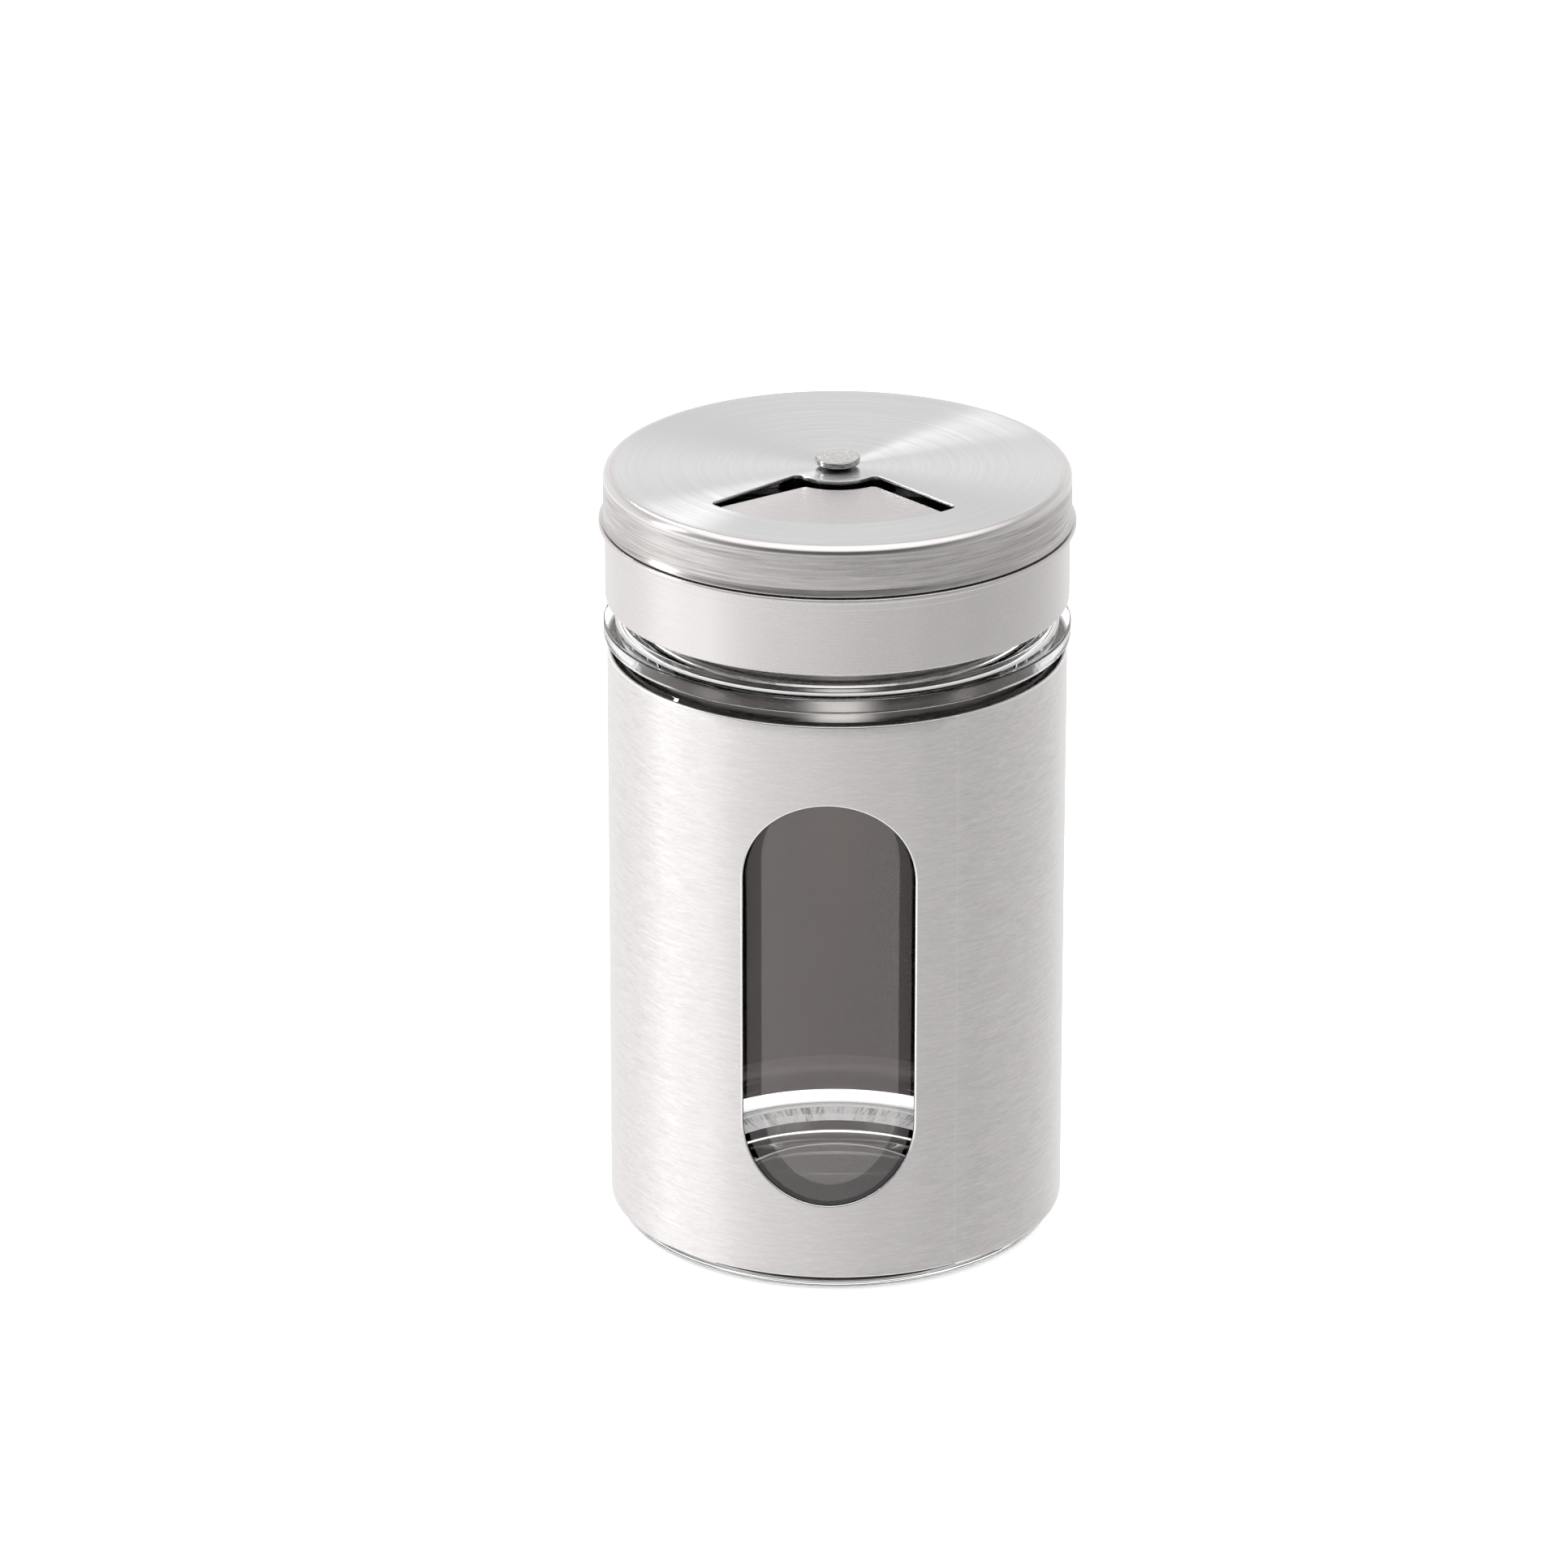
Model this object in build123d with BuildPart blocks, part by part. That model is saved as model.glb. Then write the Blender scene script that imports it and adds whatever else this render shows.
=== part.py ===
"""Spice jar: a glass jar in a windowed steel sleeve, with a screw cap and a turning dispenser cap.

Millimetres and degrees, +Z up. The origin is the centre of the foot that the jar stands on. The
sleeve's window, the blank sector of the screw cap and the dispenser's opening all face -Y.
"""

from build123d import *
from math import cos, radians, sin
import os

os.makedirs("parts", exist_ok=True)

# How far every cut runs past the face that it opens
overrun = 1.0

# Steel sleeve
sleeve_radius = 24.5
sleeve_sheet = 0.45
sleeve_height = 63.1
sleeve_lift = 2.0
sleeve_play = 0.3
window_width = 18.3
window_sill = 8.4
window_head = 8.9
seam_turn = 33.0
seam_width = 0.3
seam_depth = 0.08

# Body of the glass jar
glass_wall = 3.3
glass_floor = 2.5
push_up_depth = 1.2
foot_width = 7.25
foot_round = 1.6
floor_round = 3.1
recess_depth = 0.45
recess_drop = 0.7
recess_round = 0.3

# Bead, shoulder and neck of the glass jar
bead_overhang = 0.34
bead_lift = 1.5
bead_thickness = 1.6
bead_round = 0.25
collar_height = 0.6
collar_step = 1.5
collar_round = 0.2
neck_step = 2.3
neck_wall = 1.95
neck_land = 3.05
mouth_round = 0.7
bore_slope_drop = 1.2
bore_slope_height = 3.0
bore_slope_round = 1.5

# Screw thread of the neck and of the insert: right-handed, one start
thread_lead = 4.2
thread_height = 1.05
thread_clearance = 0.4
thread_flank_play = 0.25
thread_root_overlap = 0.25
neck_thread_crest = 1.0
neck_thread_flank = 0.55
neck_thread_round = 0.25
neck_thread_turns = 1.5
neck_thread_lift = 1.4
neck_thread_turn = 45.0
insert_thread_crest = 0.8
insert_thread_flank = 0.45
insert_thread_round = 0.2
insert_thread_turns = 1.0
insert_thread_lift = 0.2

# Seal on the glass rim, and the insert in the screw cap
seal_thickness = 1.0
seal_lap = 0.3
seal_play = 0.3
seal_round = 0.15
insert_wall = 0.7
insert_flange = 1.0
insert_play = 0.1
insert_skirt_drop = 0.4
insert_round = 0.2

# Screw cap, whose top is the selector plate
cap_sheet = 0.4
cap_step = 0.54
cap_lift = 1.95
cap_hem_clearance = 0.5
cap_edge_round = 0.35
cap_top_round = 0.7
cap_bead_proud = 0.66
cap_bead_height = 0.5
cap_bead_slope = 0.15
cap_bead_round = 0.2
cap_band_proud = 0.21
cap_band_height = 0.65
cap_band_slope = 0.12

# Raised sectors and hub of the selector plate. Each leg of a sector runs at its turn from the
# sector's middle, and passes in front of the axis by its offset
sector_count = 3
sector_rise = 1.5
sector_left_turn = 52.6
sector_left_offset = 1.99
sector_right_turn = 43.6
sector_right_offset = 0.14
sector_margin = 0.9
sector_moat = 1.2
sector_corner_round = 0.8
sector_edge_round = 0.25
hub_moat = 1.0

# Pour holes of the second and third sectors: two rows, as turns from the sector's middle
large_hole_radius = 2.2
large_inner_turns = [0.0]
large_outer_turns = [-27.0, 27.0]
small_hole_radius = 1.05
small_inner_turns = [-14.0, 14.0]
small_outer_turns = [-28.5, 0.0, 28.5]
inner_row_margin = 3.2
outer_row_margin = 4.3

# Dispenser cap. Its opening is a sector whose legs pass behind the axis
dispenser_sheet = 0.45
dispenser_play = 0.25
dispenser_skirt = 5.4
dispenser_flare = 0.5
dispenser_flare_height = 0.7
dispenser_flare_round = 0.4
dispenser_edge_round = 0.15
dispenser_top_round = 0.95
dispenser_top_play = 0.05
dispenser_edge_play = 0.15
opening_turn = 43.3
opening_offset = -1.27
opening_inner_radius = 4.7
opening_lap = 0.8
opening_corner_round = 0.8

# Rivet and its washer
rivet_radius = 1.4
rivet_play = 0.05
rivet_head_step = 1.05
rivet_head_thickness = 0.75
rivet_head_lift = 0.4
rivet_head_round = 0.25
rivet_tail_step = 0.7
rivet_tail_thickness = 0.6
rivet_tail_round = 0.2
washer_play = 0.25
washer_thickness = 0.5

# Radii that follow
jar_radius = sleeve_radius - sleeve_sheet - sleeve_play
jar_bore_radius = jar_radius - glass_wall
bead_radius = sleeve_radius + bead_overhang
neck_radius = jar_radius - neck_step
mouth_bore_radius = neck_radius - neck_wall
neck_thread_radius = neck_radius + thread_height
insert_bore_radius = neck_thread_radius + thread_clearance
insert_radius = insert_bore_radius + insert_wall
cap_neck_radius = insert_radius + insert_play + cap_sheet
cap_radius = cap_neck_radius + cap_step
cap_band_radius = cap_radius + cap_band_proud
cap_bead_radius = cap_radius + cap_bead_proud
dispenser_bore_radius = cap_neck_radius + dispenser_play
dispenser_radius = dispenser_bore_radius + dispenser_sheet
seal_bore_radius = mouth_bore_radius - seal_lap
sector_outer_radius = seal_bore_radius - sector_margin
sector_inner_radius = opening_inner_radius + sector_moat
opening_outer_radius = sector_outer_radius - opening_lap
hub_radius = opening_inner_radius - hub_moat
rivet_hole_radius = rivet_radius + rivet_play
washer_radius = hub_radius - cap_sheet - washer_play

# Heights that follow, from the foot up
sleeve_top = sleeve_lift + sleeve_height
floor_height = push_up_depth + glass_floor
bead_low = sleeve_top + bead_lift
bead_top = bead_low + bead_thickness
neck_low = bead_top + collar_height
neck_thread_half = neck_thread_crest / 2 + neck_thread_flank
insert_thread_half = insert_thread_crest / 2 + insert_thread_flank
neck_thread_low = neck_low + neck_thread_lift
neck_thread_top = neck_thread_low + neck_thread_turns * thread_lead + neck_thread_half
mouth_height = neck_thread_top + neck_land
flange_low = mouth_height + seal_thickness
plate_low = flange_low + insert_flange
plate_top = plate_low + cap_sheet
sector_top = plate_top + sector_rise
dispenser_low = sector_top + dispenser_top_play
dispenser_top = dispenser_low + dispenser_sheet
dispenser_edge = dispenser_top - dispenser_skirt
cap_bead_top = dispenser_edge - dispenser_edge_play
cap_bead_low = cap_bead_top - cap_bead_height
cap_band_top = cap_bead_low - cap_bead_slope
cap_band_low = cap_band_top - cap_band_height
cap_crease_low = cap_band_low - cap_band_slope
cap_edge = neck_low + cap_lift
insert_foot = cap_edge + cap_sheet
washer_top = sector_top - cap_sheet
washer_low = washer_top - washer_thickness
rivet_head_low = dispenser_top + rivet_head_lift

# The insert's ridge runs below the neck's ridge. The two flanks are this far from touching at
# whichever crest comes nearest
shared_height = neck_thread_radius - (insert_bore_radius - thread_height)
flank_reach = max(neck_thread_flank, insert_thread_flank) * shared_height / thread_height
ridge_offset = (neck_thread_crest + insert_thread_crest) / 2 + flank_reach + thread_flank_play
insert_thread_low = insert_foot + insert_thread_half + insert_thread_lift
ridge_climb = insert_thread_low + ridge_offset - neck_thread_low
insert_thread_turn = neck_thread_turn + 360 * ridge_climb / thread_lead


def outline(*corners):
    """A closed flat face. Each corner is its radius, height and rounding."""
    points = [(radius, height) for radius, height, rounding in corners]
    with BuildSketch() as face:
        with BuildLine():
            FilletPolyline(*points, radius=[rounding for radius, height, rounding in corners], close=True)
        make_face()
    return face.sketch


def sector_face(left_turn, left_offset, right_turn, right_offset, inner_radius, outer_radius, corner_round):
    """A ring sector about -Y. Each leg passes in front of the axis by its offset, behind if negative."""
    left, right = radians(left_turn), radians(right_turn)
    apex_x = (left_offset * sin(right) - right_offset * sin(left)) / sin(left + right)
    apex_y = -(left_offset * cos(right) + right_offset * cos(left)) / sin(left + right)
    reach = 3 * outer_radius
    left_end = (apex_x - reach * sin(left), apex_y - reach * cos(left))
    right_end = (apex_x + reach * sin(right), apex_y - reach * cos(right))
    with BuildSketch() as face:
        Polygon((apex_x, apex_y), left_end, right_end, align=None)
        Circle(outer_radius, mode=Mode.INTERSECT)
        Circle(inner_radius, mode=Mode.SUBTRACT)
        fillet(face.vertices(), corner_round)
    return face.sketch


def thread_ridge(root_radius, outward, crest, flank, crest_round, turns, low, turn):
    """One helical ridge. Outward is 1 where it stands out of a shaft, and -1 in a bore."""
    half = crest / 2 + flank
    with BuildPart() as ridge:
        with BuildLine() as path:
            Helix(thread_lead, turns * thread_lead, root_radius, center=(0, 0, low))
        across = Plane(origin=path.line @ 0, x_dir=(outward, 0, 0), z_dir=path.line % 0)
        with BuildSketch(across):
            with BuildLine():
                FilletPolyline(
                    (-thread_root_overlap, -half),
                    (0, -half),
                    (thread_height, -crest / 2),
                    (thread_height, crest / 2),
                    (0, half),
                    (-thread_root_overlap, half),
                    radius=[0, 0, crest_round, crest_round, 0, 0],
                    close=True,
                )
            make_face()
        sweep(path=path.line, is_frenet=True)
    return ridge.part.rotate(Axis.Z, turn - 90)


def hole_places(radius, turns):
    """Points on a circle, each at its turn from -Y towards +X."""
    return [(radius * sin(radians(turn)), -radius * cos(radians(turn))) for turn in turns]


# Faces and ridges that the pieces share
island = sector_face(
    sector_left_turn,
    sector_left_offset,
    sector_right_turn,
    sector_right_offset,
    sector_inner_radius,
    sector_outer_radius,
    sector_corner_round,
)
opening = sector_face(
    opening_turn,
    opening_offset,
    opening_turn,
    opening_offset,
    opening_inner_radius,
    opening_outer_radius,
    opening_corner_round,
)
neck_ridge = thread_ridge(
    neck_radius,
    1,
    neck_thread_crest,
    neck_thread_flank,
    neck_thread_round,
    neck_thread_turns,
    neck_thread_low,
    neck_thread_turn,
)
insert_ridge = thread_ridge(
    insert_bore_radius,
    -1,
    insert_thread_crest,
    insert_thread_flank,
    insert_thread_round,
    insert_thread_turns,
    insert_thread_low,
    insert_thread_turn,
)

# Glass jar: one thick-walled vessel with its bead, shoulder and threaded neck
push_up_radius = jar_radius - foot_width
with BuildPart() as glass_jar:
    with BuildSketch(Plane.XZ):
        with BuildLine():
            TangentArc((0, push_up_depth), (push_up_radius, 0), tangent=(1, 0))
            FilletPolyline(
                (push_up_radius, 0),
                (jar_radius, 0),
                (jar_radius, sleeve_top - recess_drop),
                (jar_radius - recess_depth, sleeve_top),
                (jar_radius - recess_depth, bead_low),
                (bead_radius, bead_low),
                (bead_radius, bead_top),
                (neck_radius + collar_step, bead_top),
                (neck_radius + collar_step, neck_low),
                (neck_radius, neck_low),
                (neck_radius, mouth_height),
                (mouth_bore_radius, mouth_height),
                (mouth_bore_radius, bead_low - bore_slope_drop + bore_slope_height),
                (jar_bore_radius, bead_low - bore_slope_drop),
                (jar_bore_radius, floor_height),
                (0, floor_height),
                radius=[
                    foot_round,
                    0,
                    0,
                    recess_round,
                    bead_round,
                    bead_round,
                    collar_round,
                    collar_round,
                    collar_round,
                    mouth_round,
                    mouth_round,
                    bore_slope_round,
                    bore_slope_round,
                    floor_round,
                ],
            )
            Line((0, floor_height), (0, push_up_depth))
        make_face()
    revolve(axis=Axis.Z)
    add(neck_ridge)

# Sleeve: a rolled sheet with its upright seam and one long window with round ends
with BuildPart() as sleeve:
    with BuildSketch(Plane.XY.offset(sleeve_lift)):
        Circle(sleeve_radius)
        Circle(sleeve_radius - sleeve_sheet, mode=Mode.SUBTRACT)
    extrude(amount=sleeve_height)
    window_height = sleeve_height - window_sill - window_head
    window_middle = sleeve_lift + window_sill + window_height / 2
    with BuildSketch(Plane.XZ):
        with Locations((0, window_middle)):
            SlotOverall(window_height, window_width, rotation=90)
    extrude(amount=sleeve_radius + overrun, mode=Mode.SUBTRACT)
    with BuildSketch(Plane.XY.offset(sleeve_lift)):
        with Locations(hole_places(sleeve_radius, [seam_turn])[0]):
            Rectangle(seam_width, 2 * seam_depth, rotation=seam_turn)
    extrude(amount=sleeve_height, mode=Mode.SUBTRACT)

# Screw cap: a drawn cup with a bead, a crease and an inward hem, and its embossed selector plate
with BuildPart() as screw_cap:
    with BuildSketch(Plane.XZ):
        add(
            outline(
                (0, plate_top, 0),
                (cap_neck_radius, plate_top, cap_top_round),
                (cap_neck_radius, cap_bead_top, 0),
                (cap_bead_radius, cap_bead_top, cap_bead_round),
                (cap_bead_radius, cap_bead_low, cap_bead_round),
                (cap_band_radius, cap_band_top, 0),
                (cap_band_radius, cap_band_low, 0),
                (cap_radius, cap_crease_low, 0),
                (cap_radius, cap_edge, cap_edge_round),
                (neck_thread_radius + cap_hem_clearance, cap_edge, 0),
                (neck_thread_radius + cap_hem_clearance, cap_edge + cap_sheet, 0),
                (cap_radius - cap_sheet, cap_edge + cap_sheet, 0),
                (cap_radius - cap_sheet, cap_crease_low, 0),
                (cap_band_radius - cap_sheet, cap_band_low, 0),
                (cap_band_radius - cap_sheet, cap_band_top, 0),
                (cap_bead_radius - cap_sheet, cap_bead_low, 0),
                (cap_bead_radius - cap_sheet, cap_bead_top - cap_sheet, 0),
                (cap_neck_radius - cap_sheet, cap_bead_top - cap_sheet, 0),
                (cap_neck_radius - cap_sheet, plate_low, 0),
                (0, plate_low, 0),
            )
        )
    revolve(axis=Axis.Z)
    with BuildSketch(Plane.XY.offset(plate_low)):
        with PolarLocations(0, sector_count):
            add(island)
        Circle(hub_radius)
    extrude(amount=sector_top - plate_low)
    fillet(screw_cap.edges().group_by(Axis.Z)[-1], sector_edge_round)
    with BuildSketch(Plane.XY.offset(sector_top - cap_sheet)):
        with PolarLocations(0, sector_count):
            offset(island, amount=-cap_sheet)
        Circle(hub_radius - cap_sheet)
    extrude(amount=-(sector_rise + overrun), mode=Mode.SUBTRACT)
    with BuildSketch(Plane.XY.offset(sector_top + overrun)):
        Circle(rivet_hole_radius)
        inner_row = sector_inner_radius + inner_row_margin
        outer_row = sector_outer_radius - outer_row_margin
        large_holes = hole_places(inner_row, large_inner_turns) + hole_places(outer_row, large_outer_turns)
        small_holes = hole_places(inner_row, small_inner_turns) + hole_places(outer_row, small_outer_turns)
        sector_pitch = 360 / sector_count
        with PolarLocations(0, 1, start_angle=sector_pitch):
            with Locations(*large_holes):
                Circle(large_hole_radius)
        with PolarLocations(0, 1, start_angle=2 * sector_pitch):
            with Locations(*small_holes):
                Circle(small_hole_radius)
    extrude(amount=-(sector_rise + overrun), mode=Mode.SUBTRACT)

# Thread insert: a moulded liner with a flange under the plate and the ridge that rides on the neck
insert_skirt_radius = cap_radius - cap_sheet - insert_play
with BuildPart() as thread_insert:
    with BuildSketch(Plane.XZ):
        add(
            outline(
                (seal_bore_radius, plate_low, 0),
                (insert_radius, plate_low, insert_round),
                (insert_radius, cap_crease_low - insert_skirt_drop, 0),
                (insert_skirt_radius, cap_crease_low - insert_skirt_drop, insert_round),
                (insert_skirt_radius, insert_foot, 0),
                (insert_bore_radius, insert_foot, insert_round),
                (insert_bore_radius, flange_low, 0),
                (seal_bore_radius, flange_low, 0),
            )
        )
    revolve(axis=Axis.Z)
    add(insert_ridge)

# Mouth seal: a flat ring between the glass rim and the insert's flange
with BuildPart() as mouth_seal:
    with BuildSketch(Plane.XZ):
        add(
            outline(
                (seal_bore_radius, mouth_height, seal_round),
                (insert_bore_radius - seal_play, mouth_height, seal_round),
                (insert_bore_radius - seal_play, flange_low, seal_round),
                (seal_bore_radius, flange_low, seal_round),
            )
        )
    revolve(axis=Axis.Z)

# Dispenser cap: a shallow drawn cap with a flared edge and one sector-shaped opening
dispenser_flare_top = dispenser_edge + dispenser_flare_height
with BuildPart() as dispenser_cap:
    with BuildSketch(Plane.XZ):
        add(
            outline(
                (rivet_hole_radius, dispenser_top, 0),
                (dispenser_radius, dispenser_top, dispenser_top_round),
                (dispenser_radius, dispenser_flare_top, dispenser_flare_round),
                (dispenser_radius + dispenser_flare, dispenser_edge, dispenser_edge_round),
                (dispenser_bore_radius + dispenser_flare, dispenser_edge, dispenser_edge_round),
                (dispenser_bore_radius, dispenser_flare_top, dispenser_flare_round),
                (dispenser_bore_radius, dispenser_low, dispenser_top_round - dispenser_sheet),
                (rivet_hole_radius, dispenser_low, 0),
            )
        )
    revolve(axis=Axis.Z)
    with BuildSketch(Plane.XY.offset(dispenser_top + overrun)):
        add(opening)
    extrude(amount=-(dispenser_sheet + 2 * overrun), mode=Mode.SUBTRACT)

# Pivot rivet: the flat head above the dispenser, the shank, and the closed end under the washer
rivet_head_radius = rivet_radius + rivet_head_step
rivet_tail_radius = rivet_radius + rivet_tail_step
with BuildPart() as pivot_rivet:
    with BuildSketch(Plane.XZ):
        add(
            outline(
                (0, rivet_head_low + rivet_head_thickness, 0),
                (rivet_head_radius, rivet_head_low + rivet_head_thickness, rivet_head_round),
                (rivet_head_radius, rivet_head_low, rivet_head_round),
                (rivet_radius, rivet_head_low, 0),
                (rivet_radius, washer_low, 0),
                (rivet_tail_radius, washer_low, rivet_tail_round),
                (rivet_tail_radius, washer_low - rivet_tail_thickness, rivet_tail_round),
                (0, washer_low - rivet_tail_thickness, 0),
            )
        )
    revolve(axis=Axis.Z)

# Rivet washer: the ring that the rivet is closed on, inside the raised hub
with BuildPart() as rivet_washer:
    with BuildSketch(Plane.XY.offset(washer_low)):
        Circle(washer_radius)
        Circle(rivet_hole_radius, mode=Mode.SUBTRACT)
    extrude(amount=washer_thickness)

pieces = {
    "glass_jar": glass_jar,
    "sleeve": sleeve,
    "screw_cap": screw_cap,
    "thread_insert": thread_insert,
    "mouth_seal": mouth_seal,
    "dispenser_cap": dispenser_cap,
    "pivot_rivet": pivot_rivet,
    "rivet_washer": rivet_washer,
}
for name, piece in pieces.items():
    piece.part.label = name
    export_step(piece.part, f"parts/{name}.step")
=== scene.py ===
from math import asin, atan2, cos, exp, hypot, pi, radians, sin, sqrt, tan

import bmesh
import bpy
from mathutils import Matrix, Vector, noise
from mathutils.geometry import tessellate_polygon


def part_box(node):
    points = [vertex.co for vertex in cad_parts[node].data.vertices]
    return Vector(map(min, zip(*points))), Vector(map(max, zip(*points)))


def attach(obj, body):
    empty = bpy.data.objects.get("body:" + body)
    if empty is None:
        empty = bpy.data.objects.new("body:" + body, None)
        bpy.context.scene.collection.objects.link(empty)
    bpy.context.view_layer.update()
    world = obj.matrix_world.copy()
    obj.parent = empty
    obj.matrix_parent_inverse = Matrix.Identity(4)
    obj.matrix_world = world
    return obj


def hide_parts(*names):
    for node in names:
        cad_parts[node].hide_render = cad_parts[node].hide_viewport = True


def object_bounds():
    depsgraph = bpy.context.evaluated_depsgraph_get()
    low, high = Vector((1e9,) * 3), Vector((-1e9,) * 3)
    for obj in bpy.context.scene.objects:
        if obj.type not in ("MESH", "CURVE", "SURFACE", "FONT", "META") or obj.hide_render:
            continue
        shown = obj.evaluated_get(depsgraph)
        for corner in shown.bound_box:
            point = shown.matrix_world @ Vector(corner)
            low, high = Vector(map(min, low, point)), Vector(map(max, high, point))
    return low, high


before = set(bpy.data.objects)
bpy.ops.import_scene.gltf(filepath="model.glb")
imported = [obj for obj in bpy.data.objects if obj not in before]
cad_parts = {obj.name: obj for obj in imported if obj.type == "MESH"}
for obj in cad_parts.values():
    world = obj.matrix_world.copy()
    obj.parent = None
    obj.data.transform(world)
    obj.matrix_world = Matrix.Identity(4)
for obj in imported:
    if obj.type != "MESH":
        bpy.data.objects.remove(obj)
cad_low, cad_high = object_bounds()

# Looks of the spice jar, round its CAD frame. Metres, +Z up, and the sleeve's window faces -Y.
# A turn is an angle about the axis, from -Y towards +X.
MM = 0.001
FULL = 2 * pi


def low(name):
    """The lowest height of a CAD node."""
    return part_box(name)[0].z


def high(name):
    """The highest height of a CAD node."""
    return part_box(name)[1].z


def reach(name):
    """The largest radius of a round CAD node."""
    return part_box(name)[1].x


# Sleeve
sleeve_low, sleeve_high, sleeve_radius = low("sleeve"), high("sleeve"), reach("sleeve")
sleeve_sheet = 0.45 * MM
sleeve_play = 0.3 * MM
sleeve_rim_round = 0.2 * MM
window_half = 9.15 * MM
window_low = sleeve_low + 8.4 * MM
window_high = sleeve_high - 8.9 * MM
window_edge_round = 0.14 * MM
window_edge_share = 0.9
burr_height = 0.07 * MM
burr_start_turn, burr_end_turn = radians(-25), radians(75)
coarse_burrs, fine_burrs = 60, 150
coarse_burr_row, fine_burr_row = 3.1, 0.7
fine_burr_share = 0.6
buckle_depth = 0.02 * MM
buckles_round, buckles_up = 2.2, 45
patch_half = 12.2 * MM
seam_turn = radians(33)
seam_half = radians(0.35)
seam_depth = 0.05 * MM
# Painted light on the sleeve's inside starts at this height and is full at the next
shine_low = window_high - 17 * MM
shine_full = shine_low + 9 * MM

# Glass jar
foot_round = 1.6 * MM
push_up_depth = 1.2 * MM
push_up_radius = 16.5 * MM
push_up_round = 1.0 * MM
dome_radius_share, dome_depth_share = 0.6, 0.7
dome_round = 12 * MM
floor_height = 3.7 * MM
floor_round = 3.1 * MM
jar_radius = sleeve_radius - sleeve_sheet - sleeve_play
jar_bore_radius = jar_radius - 3.3 * MM
recess_radius = jar_radius - 0.45 * MM
recess_drop = 0.7 * MM
recess_round = 0.3 * MM
bead_radius = reach("glass_jar")
bead_low = sleeve_high + 1.5 * MM
bead_top = bead_low + 1.6 * MM
bead_round = 0.22 * MM
neck_radius = jar_radius - 2.3 * MM
collar_radius = neck_radius + 1.5 * MM
collar_round = 0.18 * MM
ledge_line_radius = collar_radius + 0.65 * MM
neck_foot_round = 1.1 * MM
ledge_foot_round = 0.38 * MM
# Half-height of the ledge's band that gets the painted highlight
ledge_line_height = 0.1 * MM
neck_low = bead_top + 0.6 * MM
mouth_height = high("glass_jar")
mouth_bore_radius = neck_radius - 1.95 * MM
mouth_round = 0.7 * MM
bore_bend_round = 1.5 * MM
bore_slope_low = bead_low - 1.2 * MM
bore_slope_high = bore_slope_low + 3.0 * MM
thread_lead = 4.2 * MM
thread_height = 1.05 * MM
thread_crest = 1.0 * MM
thread_flank = 0.55 * MM
thread_turns = 1.5
thread_start_turn = radians(45)
thread_low = neck_low + 1.4 * MM
thread_run_out = radians(25)
thread_step = 0.12 * MM
thread_zone_low, thread_zone_high = neck_low - 1 * MM, mouth_height - 0.1 * MM
glass_step = 2 * MM
glass_columns = 384
clear_back_drop = 6 * MM

# Screw cap
cap_sheet = 0.4 * MM
cap_edge = low("screw_cap")
sector_top = high("screw_cap")
plate_top = sector_top - 1.5 * MM
plate_low = plate_top - cap_sheet
cap_bead_radius = reach("screw_cap")
cap_radius = cap_bead_radius - 0.66 * MM
cap_band_radius = cap_radius + 0.21 * MM
cap_neck_radius = cap_radius - 0.54 * MM
cap_hem_radius = neck_radius + thread_height + 0.5 * MM
cap_flat_radius = cap_neck_radius - 1.1 * MM
dispenser_edge = low("dispenser_cap")
cap_bead_top = dispenser_edge - 0.15 * MM
cap_bead_low = cap_bead_top - 0.5 * MM
cap_band_top = cap_bead_low - 0.15 * MM
cap_band_low = cap_band_top - 0.65 * MM
cap_crease_low = cap_band_low - 0.12 * MM
cap_shoulder_round = 0.7 * MM
cap_shoulder_under_round = cap_shoulder_round - cap_sheet
cap_neck_foot_round = 0.12 * MM
cap_bead_round = 0.2 * MM
cap_crease_round = 0.05 * MM
cap_edge_round = 0.35 * MM
cap_inner_round = 0.1 * MM
cap_columns = 256
sector_count = 3
sector_left_turn, sector_left_offset = radians(52.6), 1.99 * MM
sector_right_turn, sector_right_offset = radians(43.6), 0.14 * MM
sector_inner_radius = 5.9 * MM
sector_outer_radius = 18.3 * MM
sector_corner_round = 0.8 * MM
sector_foot_round = 0.35 * MM
sector_edge_round = 0.14 * MM
hub_radius = 3.7 * MM
large_hole_radius = 2.2 * MM
small_hole_radius = 1.05 * MM
hole_edge_round = 0.06 * MM
shade_turn = radians(66)
inner_row_radius = sector_inner_radius + 3.2 * MM
outer_row_radius = sector_outer_radius - 4.3 * MM
large_holes = [(inner_row_radius, 0.0), (outer_row_radius, -27.0), (outer_row_radius, 27.0)]
small_holes = [(inner_row_radius, -14.0), (inner_row_radius, 14.0), (outer_row_radius, -28.5),
               (outer_row_radius, 0.0), (outer_row_radius, 28.5)]

# Dispenser cap
dispenser_sheet = 0.45 * MM
dispenser_top = high("dispenser_cap")
dispenser_low = dispenser_top - dispenser_sheet
dispenser_flare_radius = reach("dispenser_cap")
dispenser_radius = cap_neck_radius + 0.25 * MM + dispenser_sheet
dispenser_flare_top = dispenser_edge + 0.7 * MM
dispenser_flare_round = 0.4 * MM
dispenser_edge_round = 0.14 * MM
dispenser_top_round = 0.95 * MM
dispenser_flat_radius = dispenser_radius - 1.2 * MM
opening_turn, opening_offset = radians(43.3), -1.27 * MM
opening_inner_radius = 4.7 * MM
opening_outer_radius = sector_outer_radius - 0.8 * MM
opening_corner_round = 0.8 * MM
opening_edge_round = 0.07 * MM

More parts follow.
